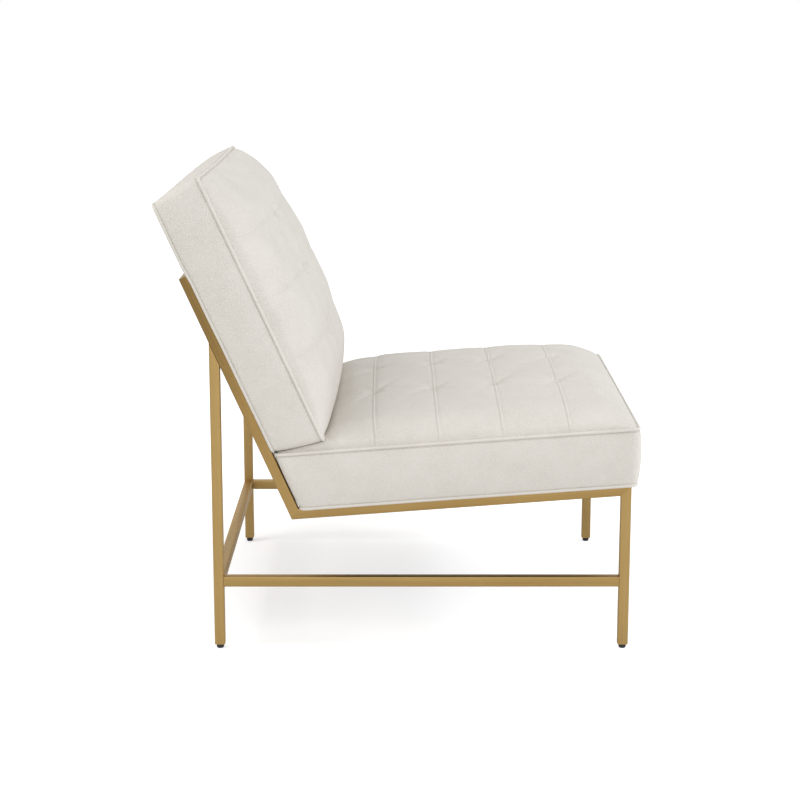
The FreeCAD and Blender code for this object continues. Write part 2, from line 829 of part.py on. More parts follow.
doc.recompute()
for item in doc.Objects:
    if "Invalid" in item.State or "Error" in item.State:
        raise ValueError(f"{item.Label} did not recompute")
for item in parts:
    if item.Shape.isNull() or not item.Shape.isValid():
        raise ValueError(f"{item.Label} has no valid shape")
os.makedirs("parts", exist_ok=True)
whole = FreeCAD.BoundBox()
for item in parts:
    item.Shape.exportStep(f"parts/{item.Label}.step")
    whole.add(item.Shape.optimalBoundingBox(False, False))
print(f"{len(parts)} sub-parts")
print(f"x {whole.XMin:.2f} to {whole.XMax:.2f}")
print(f"y {whole.YMin:.2f} to {whole.YMax:.2f}")
print(f"z {whole.ZMin:.2f} to {whole.ZMax:.2f}")
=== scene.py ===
# %% [markdown]
# # A tufted leather lounge chair
#
# The chair is a welded frame of square brass tube that carries two boxed leather cushions.
# The imported CAD model gives the frame, in metres, with the front towards -Y and the floor at
# zero.

# %% Load the frame
import math

import bpy
import numpy as np
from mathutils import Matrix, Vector


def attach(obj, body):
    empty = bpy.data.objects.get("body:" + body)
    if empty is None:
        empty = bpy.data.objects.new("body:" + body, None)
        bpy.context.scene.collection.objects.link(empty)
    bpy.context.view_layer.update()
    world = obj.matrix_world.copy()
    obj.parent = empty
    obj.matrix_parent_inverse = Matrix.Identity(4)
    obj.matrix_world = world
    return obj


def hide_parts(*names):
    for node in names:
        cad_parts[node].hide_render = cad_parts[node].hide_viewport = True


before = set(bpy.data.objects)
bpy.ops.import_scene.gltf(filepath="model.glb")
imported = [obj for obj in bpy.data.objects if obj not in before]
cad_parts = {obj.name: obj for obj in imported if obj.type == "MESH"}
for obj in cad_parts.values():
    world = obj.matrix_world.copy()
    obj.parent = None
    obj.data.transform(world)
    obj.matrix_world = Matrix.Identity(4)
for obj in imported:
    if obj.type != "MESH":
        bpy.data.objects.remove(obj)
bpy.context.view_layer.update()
BODY = "chair"

# %% [markdown]
# Blender's operators act on whatever is selected, and loading the frame leaves its nodes
# selected. These helpers pick one piece at a time and tidy it up when it is finished.

# %% Helpers for picking pieces
def deselect():
    """Leave nothing selected, in object mode."""
    if bpy.context.mode != "OBJECT":
        bpy.ops.object.mode_set(mode="OBJECT")
    bpy.ops.object.select_all(action="DESELECT")


def pick(piece):
    """Select one piece alone and make it the active one."""
    deselect()
    piece.select_set(True)
    bpy.context.view_layer.objects.active = piece


def apply_modifiers(piece):
    """Apply every modifier of a piece, from the top of the stack down."""
    pick(piece)
    for modifier in list(piece.modifiers):
        bpy.ops.object.modifier_apply(modifier=modifier.name)


def spots_of(piece):
    """The piece's vertices as an array of x, y and z."""
    spots = np.empty(len(piece.data.vertices) * 3)
    piece.data.vertices.foreach_get("co", spots)
    return spots.reshape(-1, 3)


def move_spots(piece, spots):
    """Give the piece's vertices new places."""
    piece.data.vertices.foreach_set("co", np.asarray(spots, dtype=float).ravel())
    piece.data.update()


def finish_piece(piece, material, replaces):
    """Give a finished piece its material, body and the CAD nodes that it stands for."""
    piece.data.materials.clear()
    piece.data.materials.append(material)
    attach(piece, BODY)
    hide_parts(*replaces)
    print(f"{piece.name}: {len(piece.data.polygons)} faces, stands for {', '.join(replaces)}")


# %% [markdown]
# The chair has three planes. The frame's floor plane is level. The seat plane and the back
# plane start at the bend behind the seat, and each cushion is drawn in the directions of its
# own plane: x across, q along it and depth out from the tubes that it rests on. Lengths are
# in millimetres here, as on the real chair, and become metres when a spot is placed.

# %% The seat plane and the back plane
MM = 0.001
TUBE = 19.05
FRAME_WIDTH = 740.7
FRAME_DEPTH = 777.3
REAR = 352.4
BEND_AHEAD = 147.7
BEND_HEIGHT = 251.7
BEND = np.array([0.0, REAR - BEND_AHEAD, BEND_HEIGHT])
SLOPE = math.radians(4.2)
LEAN = math.radians(23.92)


def on_seat(x, q, depth):
    """Places in metres of spots given across, along and out from the seat rails."""
    y = -q * math.cos(SLOPE) + depth * math.sin(SLOPE)
    z = q * math.sin(SLOPE) + depth * math.cos(SLOPE)
    return (np.stack([x, y, z], axis=-1) + BEND) * MM


def on_back(x, q, depth):
    """Places in metres of spots given across, up along and out from the back posts."""
    y = q * math.sin(LEAN) - depth * math.cos(LEAN)
    z = q * math.cos(LEAN) + depth * math.sin(LEAN)
    return (np.stack([x, y, z], axis=-1) + BEND) * MM


print(f"the bend is {BEND[1]:.1f} mm behind the middle and {BEND[2]:.1f} mm above the floor")

# %% [markdown]
# The photograph was taken from the chair's right side with a long lens, well above the seat
# and tilted down. The camera's place was worked out from the frame's straight edges, so a
# render can be laid over the photograph.

# %% Camera
camera_data = bpy.data.cameras.new("PhotoCamera")
camera_data.lens = 85.5
camera_data.sensor_width = 36.0
camera_data.clip_end = 200.0
camera = bpy.data.objects.new("PhotoCamera", camera_data)
camera.location = (-3.77406, 0.00388, 1.19857)
camera.rotation_euler = (math.radians(90 - 11.941), 0.0, math.radians(-90))
bpy.context.scene.collection.objects.link(camera)
bpy.context.scene.camera = camera
print(f"camera: {camera_data.lens} mm lens, {camera.location[2]:.2f} metres up")

# %% [markdown]
# Shader maths reads best as ordinary expressions. This small class wraps one output of a
# node, and each operator adds the Math node that does the same thing.

# %% Shader maths
class Value:
    """One output in a material's node tree, which can be reckoned with like a number."""

    def __init__(self, tree, socket):
        self.tree = tree
        self.socket = socket

    def math(self, operation, *others):
        return add_node(
            self.tree, "ShaderNodeMath", {"operation": operation}, (self,) + others,
        )

    def __add__(self, other):
        return self.math("ADD", other)

    def __sub__(self, other):
        return self.math("SUBTRACT", other)

    def __mul__(self, other):
        return self.math("MULTIPLY", other)

    def __radd__(self, other):
        return self + other

    def __rmul__(self, other):
        return self * other

    def __rsub__(self, other):
        return self.math("MULTIPLY_ADD", -1.0, other)


# %% [markdown]
# A procedural material is a tree of nodes. One helper adds any node: its settings come first,
# because they can change which sockets it has, and then its numbers, colours and links.

# %% One helper for every node
def set_stops(node, stops):
    """Give a colour ramp its stops, which are pairs of a place and a colour."""
    elements = node.color_ramp.elements
    for index, (place, colour) in enumerate(stops):
        element = elements[index] if index < 2 else elements.new(place)
        element.position = place
        element.color = (*colour, 1.0)


def add_node(tree, kind, settings=None, values=(), output=0):
    """Add one node. Its values and its output are given by order or by socket name."""
    node = tree.nodes.new(kind)
    for name, setting in (settings or {}).items():
        if name == "stops":
            set_stops(node, setting)
        else:
            setattr(node, name, setting)
    items = values.items() if isinstance(values, dict) else enumerate(values)
    for key, value in items:
        if isinstance(value, Value):
            tree.links.new(value.socket, node.inputs[key])
        else:
            node.inputs[key].default_value = value
    return Value(tree, node.outputs[output])


# %% [markdown]
# Every finish starts from the Principled shader and uses the same few kinds of node: the
# piece's own coordinates, noise, a pattern of cells, a colour ramp and a bump.

# %% The nodes that every finish uses
def new_material(name, **constants):
    """A Principled material. Returns it, its node tree and its shader node."""
    material = bpy.data.materials.new(name)
    material.use_nodes = True
    tree = material.node_tree
    shader = tree.nodes["Principled BSDF"]
    for socket, value in constants.items():
        shader.inputs[socket.replace("_", " ")].default_value = value
    return material, tree, shader


def drive(tree, shader, **links):
    """Link values that vary over the surface to the shader's sockets."""
    for socket, value in links.items():
        tree.links.new(value.socket, shader.inputs[socket.replace("_", " ")])


def object_coordinates(tree, scale=(1, 1, 1), turn=(0, 0, 0)):
    """The piece's own coordinates in metres, scaled and then turned."""
    place = add_node(tree, "ShaderNodeTexCoord", output="Object")
    return add_node(
        tree, "ShaderNodeMapping", {"vector_type": "POINT"},
        {"Vector": place, "Rotation": turn, "Scale": scale},
    )


def noise(tree, place, scale, detail, output="Fac", **others):
    """A noise, from 0 to 1, or three noises at once as the output Color."""
    values = {"Vector": place, "Scale": scale, "Detail": detail, **others}
    return add_node(tree, "ShaderNodeTexNoise", {}, values, output)


def cell_pattern(tree, place, scale, randomness=1.0, feature="F1"):
    """How far spots lie from the middle of their cell, or from its edge."""
    values = {"Vector": place, "Scale": scale, "Randomness": randomness}
    return add_node(tree, "ShaderNodeTexVoronoi", {"feature": feature}, values)


def ramp(tree, factor, stops):
    """A colour ramp."""
    return add_node(tree, "ShaderNodeValToRGB", {"stops": stops}, (factor,))


def bump(tree, height, distance, strength=1.0):
    """A Bump node of a real height in metres."""
    values = {"Height": height, "Distance": distance, "Strength": strength}
    return add_node(tree, "ShaderNodeBump", {}, values)


# %% [markdown]
# The leather is ivory hide with a fine pebble grain, which the light catches as small soft
# bumps. Noise alone looks like stucco, so the pebbles are a cell pattern whose cells noise
# pulls out of shape, and a second, finer one breaks up their tops. Broad noise makes the dye
# a little uneven, and the cushions carry an attribute that paints shade into the leather's
# colour along the piping, beside the seams and in the tufts.

# %% Ivory leather
# The ramp's first stop is reached only where painted shade darkens the leather.
IVORY = (
    (0.0, (0.430, 0.390, 0.320)),
    (0.25, (0.600, 0.562, 0.500)),
    (0.51, (0.700, 0.664, 0.604)),
    (0.74, (0.742, 0.708, 0.650)),
    (1.0, (0.782, 0.752, 0.700)),
)


def make_leather(name, grain, height_scale, painted_highlight):
    """Pebbled leather, with pebbles this many metres across. The last argument lightens its
    colour as a painted highlight.
    """
    material, tree, shader = new_material(
        name, IOR=1.45, Specular_IOR_Level=0.42, Sheen_Weight=0.06, Sheen_Roughness=0.5,
    )
    place = object_coordinates(tree)
    drift = noise(tree, place, 0.35 / grain, 2.0, output="Color")
    wander = add_node(
        tree, "ShaderNodeVectorMath", {"operation": "MULTIPLY_ADD"},
        {0: drift, 1: (1.3 * grain,) * 3, 2: place},
    )
    pebble = cell_pattern(tree, wander, 1.0 / grain, 0.9, "DISTANCE_TO_EDGE")
    fine = cell_pattern(tree, wander, 2.3 / grain)
    pore = noise(tree, place, 3200.0, 2.0, Roughness=0.6)
    broad = noise(tree, place, 16.0, 3.0, Roughness=0.55)
    dome = add_node(
        tree, "ShaderNodeMapRange", {"interpolation_type": "SMOOTHSTEP"},
        {"Value": pebble, "From Max": 0.32},
    )
    height = dome + (1 - fine) * 0.35 + pore * 0.12 + broad * 0.5
    gaps = 1 - dome
    # The attribute is painted shade along the piping, beside the seams and in the tufts.
    painted_shade = add_node(
        tree, "ShaderNodeAttribute", {"attribute_name": "painted_shade"}, output="Fac",
    )
    # A lighter tone here is a painted highlight.
    tone = broad * 0.5 + (0.3 + painted_highlight) - gaps * 0.34 + fine * 0.08
    tone = 0.25 + tone * 0.75 - painted_shade * 0.42
    rough = 0.46 + gaps * 0.12 + broad * 0.10
    drive(
        tree, shader, Base_Color=ramp(tree, tone, IVORY), Roughness=rough,
        Normal=bump(tree, height, height_scale),
    )
    return material


COVER_PEBBLE = 0.0034
PIPING_PEBBLE = 0.0016
leather = make_leather("ivory_leather", COVER_PEBBLE, 0.00038, 0.0)
# The piping's leather is lighter, a painted highlight where the light catches the round cord.
piping_leather = make_leather("ivory_piping_leather", PIPING_PEBBLE, 0.00012, 0.03)
print(f"leather: pebbles {COVER_PEBBLE} m across, and {PIPING_PEBBLE} m on the piping")

# %% [markdown]
# The tubes are steel with a brushed brass finish. Brushing leaves fine lines along each
# tube, so the noise is stretched along it. A stretched noise has one direction, so the same
# finish is made once for each direction that a tube runs in. The photograph shows the other
# tubes darker than the legs, and the posts darker towards their tops.

# %% Brushed brass
BRASS = (
    (0.0, (0.150, 0.094, 0.032)), (0.4375, (0.395, 0.256, 0.094)),
    (0.8125, (0.510, 0.352, 0.142)),
)


def evenly(amount):
    """Painted shade that darkens the brass by the same amount at every height."""
    return (0.0, amount), (1.0, amount)


def make_brass(name, turn, painted_shade_levels):
    """Brass brushed along Z, after the piece's coordinates are turned by these angles.

    The third argument gives two heights in metres and how much shade is painted into the brass
    at each.
    """
    material, tree, shader = new_material(name, Metallic=1.0, Anisotropic=0.35)
    place = object_coordinates(tree, (1, 1, 1), turn)
    stretched = add_node(
        tree, "ShaderNodeMapping", {"vector_type": "POINT"},
        {"Vector": place, "Scale": (1800.0, 1800.0, 22.0)},
    )
    lines = noise(tree, stretched, 1.0, 3.0, Roughness=0.65)
    streaks = add_node(
        tree, "ShaderNodeMapping", {"vector_type": "POINT"},
        {"Vector": place, "Scale": (420.0, 420.0, 5.0)},
    )
    bands = noise(tree, streaks, 1.0, 2.0)
    cloud = noise(tree, place, 9.0, 3.0)
    tone = lines * 0.4 + bands * 0.35 + cloud * 0.25
    # Painted shade darkens the colour, by an amount that changes between two heights.
    (low, at_low), (high, at_high) = painted_shade_levels
    level = add_node(tree, "ShaderNodeSeparateXYZ", {}, (object_coordinates(tree),), "Z")
    painted_darkening = add_node(tree, "ShaderNodeMapRange", {}, (level, low, high, at_low, at_high))
    tone = 0.25 + tone * 0.75 - painted_darkening * 0.5
    rough = 0.36 + lines * 0.12 + cloud * 0.06
    drive(
        tree, shader, Base_Color=ramp(tree, tone, BRASS), Roughness=rough,
        Normal=bump(tree, lines, 0.00002, 0.4),
    )
    return material


QUARTER = math.radians(90)
# All tubes but the legs get painted shade in their colour, and the posts more towards their
# tops.
brass_upright = make_brass("brushed_brass_upright", (0, 0, 0), evenly(0.0))
brass_along = make_brass("brushed_brass_along", (QUARTER, 0, 0), evenly(0.20))
brass_across = make_brass("brushed_brass_across", (0, QUARTER, 0), evenly(0.30))
brass_seat = make_brass("brushed_brass_seat", (QUARTER + SLOPE, 0, 0), evenly(0.27))
brass_back = make_brass("brushed_brass_back", (LEAN, 0, 0), ((0.30, 0.24), (0.68, 0.95)))
print("brass: brushed in 5 directions")

# %% [markdown]
# The glides are moulded from black nylon, which has a fine satin grain and scuffs that
# show a little lighter. Two noises do for both, one for the bump and one for the colour.

# %% Black nylon
def make_nylon():
    material, tree, shader = new_material("black_nylon", Specular_IOR_Level=0.45)
    place = object_coordinates(tree)
    grain = noise(tree, place, 1500.0, 3.0)
    scuff = noise(tree, place, 130.0, 4.0)
    colour = ramp(tree, scuff, [(0.35, (0.012, 0.012, 0.013)), (0.75, (0.035, 0.034, 0.033))])
    drive(
        tree, shader, Base_Color=colour, Roughness=0.38 + scuff * 0.3,
        Normal=bump(tree, grain, 0.00004, 0.5),
    )
    return material


nylon = make_nylon()

# %% [markdown]
# Screws, nuts and threaded inserts are zinc-plated steel. Zinc sets in small crystals, so a
# cell pattern makes its roughness vary from one to the next.

# %% Zinc-plated steel
def make_zinc():
    material, tree, shader = new_material("zinc_steel", Metallic=1.0)
    place = object_coordinates(tree)
    spangle = cell_pattern(tree, place, 900.0)
    cloud = noise(tree, place, 240.0, 4.0)
    colour = ramp(tree, cloud, [(0.3, (0.48, 0.49, 0.50)), (0.7, (0.66, 0.66, 0.64))])
    drive(
        tree, shader, Base_Color=colour, Roughness=0.24 + spangle * 0.25,
        Normal=bump(tree, cloud, 0.00002, 0.4),
    )
    return material


zinc = make_zinc()

# %% [markdown]
# The boards inside the cushions are birch plywood. The fibres run across the chair, so the
# noise is stretched along X.

# %% Birch plywood
def make_plywood():
    material, tree, shader = new_material("birch_plywood", Specular_IOR_Level=0.3)
    fibres = object_coordinates(tree, (6.0, 160.0, 160.0))
    grain = noise(tree, fibres, 1.0, 5.0, Distortion=0.6)
    colour = ramp(tree, grain, [(0.3, (0.46, 0.30, 0.16)), (0.7, (0.68, 0.50, 0.31))])
    drive(
        tree, shader, Base_Color=colour, Roughness=0.55 + grain * 0.2,
        Normal=bump(tree, grain, 0.0001, 0.5),
    )
    return material


plywood = make_plywood()

# %% [markdown]
# The filling is polyurethane foam, dull and yellowish, with open cells a millimetre wide.

# %% Cushion foam
def make_foam():
    material, tree, shader = new_material("cushion_foam", Specular_IOR_Level=0.2)
    place = object_coordinates(tree)
    cells = cell_pattern(tree, place, 900.0)
    colour = ramp(tree, cells, [(0.0, (0.62, 0.52, 0.33)), (0.6, (0.82, 0.74, 0.54))])
    drive(
        tree, shader, Base_Color=colour, Roughness=0.8 + cells * 0.2,
        Normal=bump(tree, cells, 0.0003, 0.6),
    )
    return material


foam = make_foam()

# %% [markdown]
# The dust cloth is black non-woven polypropylene. Its fibres lie every way and are welded
# together at a regular pattern of dimples, so the cells are hardly randomised.

# %% Black lining
def make_lining():
    material, tree, shader = new_material(
        "black_lining", Specular_IOR_Level=0.25, Sheen_Weight=0.25,
    )
    place = object_coordinates(tree)
    fibres = noise(tree, place, 900.0, 5.0, Distortion=2.0)
    dimples = cell_pattern(tree, place, 420.0, 0.1)
    colour = ramp(tree, fibres, [(0.3, (0.014, 0.014, 0.015)), (0.7, (0.045, 0.044, 0.044))])
    drive(
        tree, shader, Base_Color=colour, Roughness=0.75 + fibres * 0.2,
        Normal=bump(tree, dimples + fibres * 0.5, 0.0003, 0.6),
    )
    return material


lining = make_lining()
print("small parts: nylon, zinc, plywood, foam and lining")

# %% [markdown]
# A CAD tube has knife-sharp edges, and real square tube has small rounded ones that catch
# the light. A bevel of every edge would open the mitred joints, so only the four long outer
# edges are rounded. To find them, each tube's name gives the direction that it runs in and
# the direction that one pair of its sides faces.

# %% Directions of the tubes
def tube_axis(node):
    """The direction that a square tube runs in."""
    if "seat_rail" in node:
        return Vector((0, -math.cos(SLOPE), math.sin(SLOPE)))
    if "back_post" in node or "post_cap" in node:
        return Vector((0, math.sin(LEAN), math.cos(LEAN)))
    if "side_stretcher" in node:
        return Vector((0, 1, 0))
    if "leg" in node:
        return Vector((0, 0, 1))
    return Vector((1, 0, 0))


def tube_side(node):
    """The direction that one pair of a square tube's sides faces."""
    if node in ("seat_rear_rail", "seat_front_rail"):
        return Vector((0, math.sin(SLOPE), math.cos(SLOPE)))
    if node in ("back_lower_rail", "back_top_rail"):
        return Vector((0, math.sin(LEAN), math.cos(LEAN)))
    if node == "rear_stretcher":
        return Vector((0, 0, 1))
    return Vector((1, 0, 0))


# %% [markdown]
# Each tube starts as a copy of its CAD node, so that its holes, mitres and walls are already
# right. The node's loose triangles are merged and its flat faces joined before the bevel.

# %% Square tubes with rounded edges
EDGE_RADIUS = 1.6 * MM


def copy_of_node(node, name):
    """A merged copy of a CAD node's mesh, as a new piece at the origin."""
    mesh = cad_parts[node].data.copy()
    piece = bpy.data.objects.new(name, mesh)
    bpy.context.scene.collection.objects.link(piece)
    pick(piece)
    bpy.ops.object.mode_set(mode="EDIT")
    bpy.ops.mesh.select_all(action="SELECT")
    bpy.ops.mesh.remove_doubles(threshold=0.02 * MM)
    bpy.ops.mesh.dissolve_limited(angle_limit=math.radians(0.5))
    bpy.ops.mesh.select_all(action="DESELECT")
    bpy.ops.object.mode_set(mode="OBJECT")
    return piece


def select_long_edges(piece, axis, side):
    """Select a tube's long outer edges alone, and say how many there are."""
    front = axis.cross(side).normalized()
    mesh = piece.data
    spots = spots_of(piece)
    sides = spots @ np.array(side)
    fronts = spots @ np.array(front)
    side_ends = sides.min(), sides.max()
    front_ends = fronts.min(), fronts.max()
    chosen = 0
    for edge in mesh.edges:
        one, two = (mesh.vertices[index].co for index in edge.vertices)
        line = two - one
        at_side = min(abs(one.dot(side) - end) for end in side_ends) < 0.05 * MM
        at_front = min(abs(one.dot(front) - end) for end in front_ends) < 0.05 * MM
        if line.length > MM and abs(line.normalized().dot(axis)) > 0.9999:
            if at_side and at_front:
                edge.select = True
                chosen += 1
    return chosen


def round_tube(node, material):
    """A tube like the CAD node, with its long outer edges rounded."""
    piece = copy_of_node(node, f"{node}_tube")
    chosen = select_long_edges(piece, tube_axis(node), tube_side(node))
    pick(piece)
    bpy.ops.object.mode_set(mode="EDIT")
    bpy.ops.mesh.select_mode(type="EDGE")
    bpy.ops.mesh.bevel(offset=EDGE_RADIUS, segments=4, clamp_overlap=True)
    bpy.ops.object.mode_set(mode="OBJECT")
    bpy.ops.object.shade_smooth_by_angle(angle=math.radians(30))
    print(f"{node}: {chosen} long edges rounded")
    finish_piece(piece, material, [node])


# %% [markdown]
# The frame has ten tubes in its two sides, five across and two caps that close the posts.

# %% The frame's tubes
TUBES = {
    "rear_leg": brass_upright,
    "front_leg": brass_upright,
    "seat_rail": brass_seat,
    "back_post": brass_back,
    "side_stretcher": brass_along,
}
for part, material in TUBES.items():
    for hand in ("left", "right"):
        round_tube(f"{part}_{hand}", material)
CROSS_TUBES = (
    "rear_stretcher", "seat_rear_rail", "seat_front_rail", "back_lower_rail", "back_top_rail",
)
for node in CROSS_TUBES:
    round_tube(node, brass_across)
for hand in ("left", "right"):
    round_tube(f"post_cap_{hand}", brass_back)

# %% [markdown]
# A boxed cushion is made from three pieces of leather: a tufted panel, a long boxing strip
# round the sides and a base. A cloth simulation could inflate such a cover, but it wouldn't
# keep every seam and tuft where the photograph shows it. So each cushion starts as a flat grid
# for its panel, the grid's rim is extruded down for the boxing, and a second grid closes it
# below. Then every vertex is moved, in code, to where the sewn and stuffed cushion has it.
#
# The seat cushion lies on its rails, with its rear end close to the back posts and its front
# end over the front legs. The back cushion stands on the seat cushion's upper piping.

# %% Where the cushions start and end
WELT = 3.2
CLEARANCE = 1.2
BESIDE_FRAME = 0.15
PATH_HALF_WIDTH = FRAME_WIDTH / 2 + BESIDE_FRAME + WELT
CORNER = 12.0
SWING = LEAN - SLOPE
BEND_HALF = (math.pi / 2 + SWING) / 2
RAIL = (FRAME_DEPTH - BEND_AHEAD + TUBE * math.sin(SLOPE)) / math.cos(SLOPE)
SEAT_THICKNESS = 106.0
SEAT_OVERHANG = 12.6
SEAT_PROUD = 2.4
BACK_THICKNESS = 92.0
BACK_LENGTH = 507.4
BACK_DROP = 17.6
BACK_RISE = 10.5


def seat_first(depth):
    """Rear of the seat cushion, parallel to the back posts."""
    foot = TUBE / math.tan(BEND_HALF) + CLEARANCE
    return foot - (depth - TUBE) * math.tan(SWING) + WELT


def seat_last(depth):
    """Front of the seat cushion, which stands a little proud at its upper seam."""
    slant = math.tan(SLOPE) + SEAT_PROUD / SEAT_THICKNESS
    return RAIL + SEAT_OVERHANG + (depth - TUBE) * slant - WELT


SEAT_TOP = TUBE + SEAT_THICKNESS
BACK_FOOT = (
    SEAT_TOP * math.cos(SWING) - seat_first(SEAT_TOP) * math.sin(SWING) + WELT + CLEARANCE
)


def back_first(depth):
    """Bottom of the back cushion, which drops towards the front."""
    return BACK_FOOT - (depth - TUBE) / BACK_THICKNESS * BACK_DROP + WELT


def back_last(depth):
    """Top of the back cushion at its corners, which rises towards the front."""
    return BACK_FOOT + BACK_LENGTH + (depth - TUBE) / BACK_THICKNESS * BACK_RISE - WELT


print(f"the back cushion starts {BACK_FOOT:.1f} mm up the posts")

# %% [markdown]
# Both cushions are sewn in the same way, so one set of functions makes both, and a table for
# each says how they differ. Its entries are:
#
# - first, last: the two ends. lower, upper: the seams' depths, as pairs of a place and a depth.
# - bulge, first_bulge, last_bulge: how far the boxing swells at the sides and the two ends.
#   first_bow and last_bow: how far the ends curve in, or out where they are negative.
#   between_posts: the seat's rear end swells only between the back posts.
# - crown, shoulder: the panel's height over the upper seam in its middle and near its sides.
#   run, corner_power: how wide and how square it rolls up from the sides. head, tail: its
#   share of the full height at distances from the two ends. pressed: the height that is left
#   at places where the other cushion leans on it.
# - seams: where the channels are sewn, and seam_lean how far each has turned at the left side.
#   channel, tuft, column: how deep the channels and the tufts are, and how far out the two
#   columns of tufts lie. ridge, groove: the fold's height and its valley's depth. crease: how
#   deep the puckers at the tufts are.
# - seam_painted_shade, cord_painted_shade: how much shade is painted into the leather at a seam
#   and at the
#   piping. base: how far out the base lies, at places.

# %% The two cushions' tables
SEAT = {
    "name": "seat", "place": on_seat, "first": seat_first, "last": seat_last,
    "lower": ((0, 19.55), (640, 19.55)), "upper": ((0, 125.05), (640, 125.05)),
    "bulge": 3.6, "last_bulge": 1.0, "first_bulge": 6.0, "between_posts": True,
    "last_bow": 0.0, "first_bow": -4.0,
    "pressed": ((-25, 3.0), (70, 18.0), (100, 18.0), (150, 0.0)),
    "crown": 61.0, "shoulder": 45.0, "run": 60.0, "corner_power": 1.6,
    "seams": (162.5, 281.5, 400.1, 523.5), "seam_lean": (-2.5, -1.0, 0.0, 1.0),
    "head": ((0, 0.0), (84, 0.38), (108, 0.72), (140, 0.87), (200, 1.0)),
    "tail": ((0, 0.0), (8, 0.24), (22, 0.45), (58, 0.77), (84, 0.86), (124, 0.93), (200, 1.0)),
    "channel": 1.6, "tuft": 6.0, "column": 122.0, "ridge": 2.4, "groove": 1.6, "crease": 3.3,
    "seam_painted_shade": 0.22, "cord_painted_shade": 0.55, "base": ((0, 21.0), (640, 21.0)),
}
BACK = {
    "name": "back", "place": on_back, "first": back_first, "last": back_last,
    "lower": (
        (182, 22.2), (250, 21.4), (305, 21.0), (354, 20.7), (405, 19.7), (475, 19.2),
        (510, 16.2), (631, 15.8),
    ),
    "upper": ((125, 115.0), (635, 109.0)),
    "bulge": 2.6, "last_bulge": 3.0, "first_bulge": 2.0, "between_posts": False,
    "last_bow": 9.5, "first_bow": 1.0,
    "pressed": ((0, 0.0), (900, 0.0)),
    "crown": 88.5, "shoulder": 58.0, "run": 67.0, "corner_power": 1.6,
    "seams": (273.4, 395.4, 517.4), "seam_lean": (0.0, 0.0, 0.0),
    "head": ((0, 0.0), (8, 0.19), (20, 0.34), (52, 0.61), (96, 0.87), (200, 1.0)),
    "tail": ((0, 0.0), (5, 0.16), (12, 0.30), (40, 0.60), (80, 0.84), (200, 1.0)),
    "channel": 2.0, "tuft": 7.0, "column": 122.0, "ridge": 1.6, "groove": 1.3, "crease": 2.2,
    "seam_painted_shade": 0.1, "cord_painted_shade": 0.3, "base": ((480, 20.3), (540, 17.0)),
}

# %% [markdown]
# The plan of a cushion is a rectangle with rounded corners whose sides pull in between
# them, because the seams hold it while the filling pushes the corners out. One function
# gives that plan for the panel, the boxing and the piping, so that they always meet. Its
# across runs from -1 to 1 and its along from 0 to 1. It grows outwards by a width, and swell
# is 0 at a seam and 1 halfway up the boxing. MIDDLE is the place where a seam's depth is first
# looked up, and POST_EDGE and POST_EASE say, as shares, where the swelling meets the posts.

# %% The cushions' plan
MIDDLE = 380.0
DRAW_IN = 2.5
POST_EDGE = 0.936
POST_EASE = 0.022


def table(pairs, places):
    """A table of pairs read at places, with straight lines between its entries."""
    keys, values = zip(*pairs)
    return np.interp(places, keys, values)


def rounded(x, q, half, low, high, radius):
    """Spots of a rectangle, with those in its square corners drawn in to round ones."""
    out_x = np.abs(x) - (half - radius)
    out_q = np.maximum(low + radius - q, q - (high - radius))
    cornered = (out_x > 0) & (out_q > 0)
    reach = np.maximum(np.hypot(out_x, out_q), 1e-9)
    pull = np.where(cornered, np.maximum(out_x, out_q) / reach, 1.0)
    at_low = low + radius - out_q * pull
    at_high = high - radius + out_q * pull
    round_x = np.sign(x) * (half - radius + out_x * pull)
    round_q = np.where(q < (low + high) / 2, at_low, at_high)
    return np.where(cornered, round_x, x), np.where(cornered, round_q, q)


def plan(cushion, across, along, depth, grow, swell):
    """Where spots of the plan lie, in millimetres across and along."""
    half = PATH_HALF_WIDTH + grow
    low = cushion["first"](depth) - grow + swell * cushion["bulge"]
    high = cushion["last"](depth) + grow
    radius = np.maximum(CORNER + grow, 1.0)
    x, q = rounded(across * half, low + along * (high - low), half, low, high, radius)
    held = 1 - swell
    x = x - np.sign(across) * np.abs(across) ** 3 * DRAW_IN * held * (1 - (2 * along - 1) ** 2)
    to_last = np.clip(2 * along - 1, 0, 1) ** 3
    to_first = np.clip(1 - 2 * along, 0, 1) ** 3
    span = 1 - across ** 2
    behind = span
    if cushion["between_posts"]:
        behind = np.clip((POST_EDGE - np.abs(across)) / POST_EASE, 0, 1)
    outer = np.clip((depth - TUBE) / BACK_THICKNESS, 0, 1)
    last_bow = cushion["last_bow"] * (1 - 0.6 * outer)
    q = q + to_last * span * (swell * cushion["last_bulge"] - held * last_bow)
    q = q + to_first * (held * span * cushion["first_bow"])
    q = q - to_first * behind * swell ** 0.5 * cushion["first_bulge"]
    return x, q


def plan_at_seam(cushion, across, along, level, grow):
    """Where spots of the plan lie at the height of a seam, and how far out they are."""
    middle = np.full_like(across, table(cushion[level], MIDDLE))
    q = plan(cushion, across, along, middle, grow, 0.0)[1]
    depth = table(cushion[level], q)
    x, q = plan(cushion, across, along, depth, grow, 0.0)
    return x, q, depth


def eased(pairs, distance):
    """A table of pairs read at a distance, with its corners softened over 5 mm."""
    steps = (-1.0, -0.5, 0.0, 0.5, 1.0)
    reads = [table(pairs, distance + step * np.minimum(5.0, distance)) for step in steps]
    return sum(reads) / len(steps)


# %% [markdown]
# The panel's height comes from three things: how it rolls up from the piping, the pillows
# between the sewn seams, and the tufts that pull it down where the thread goes through.
# Each seam is a pin tuck, a raised fold about 2.5 mm wide that lies in its own valley.

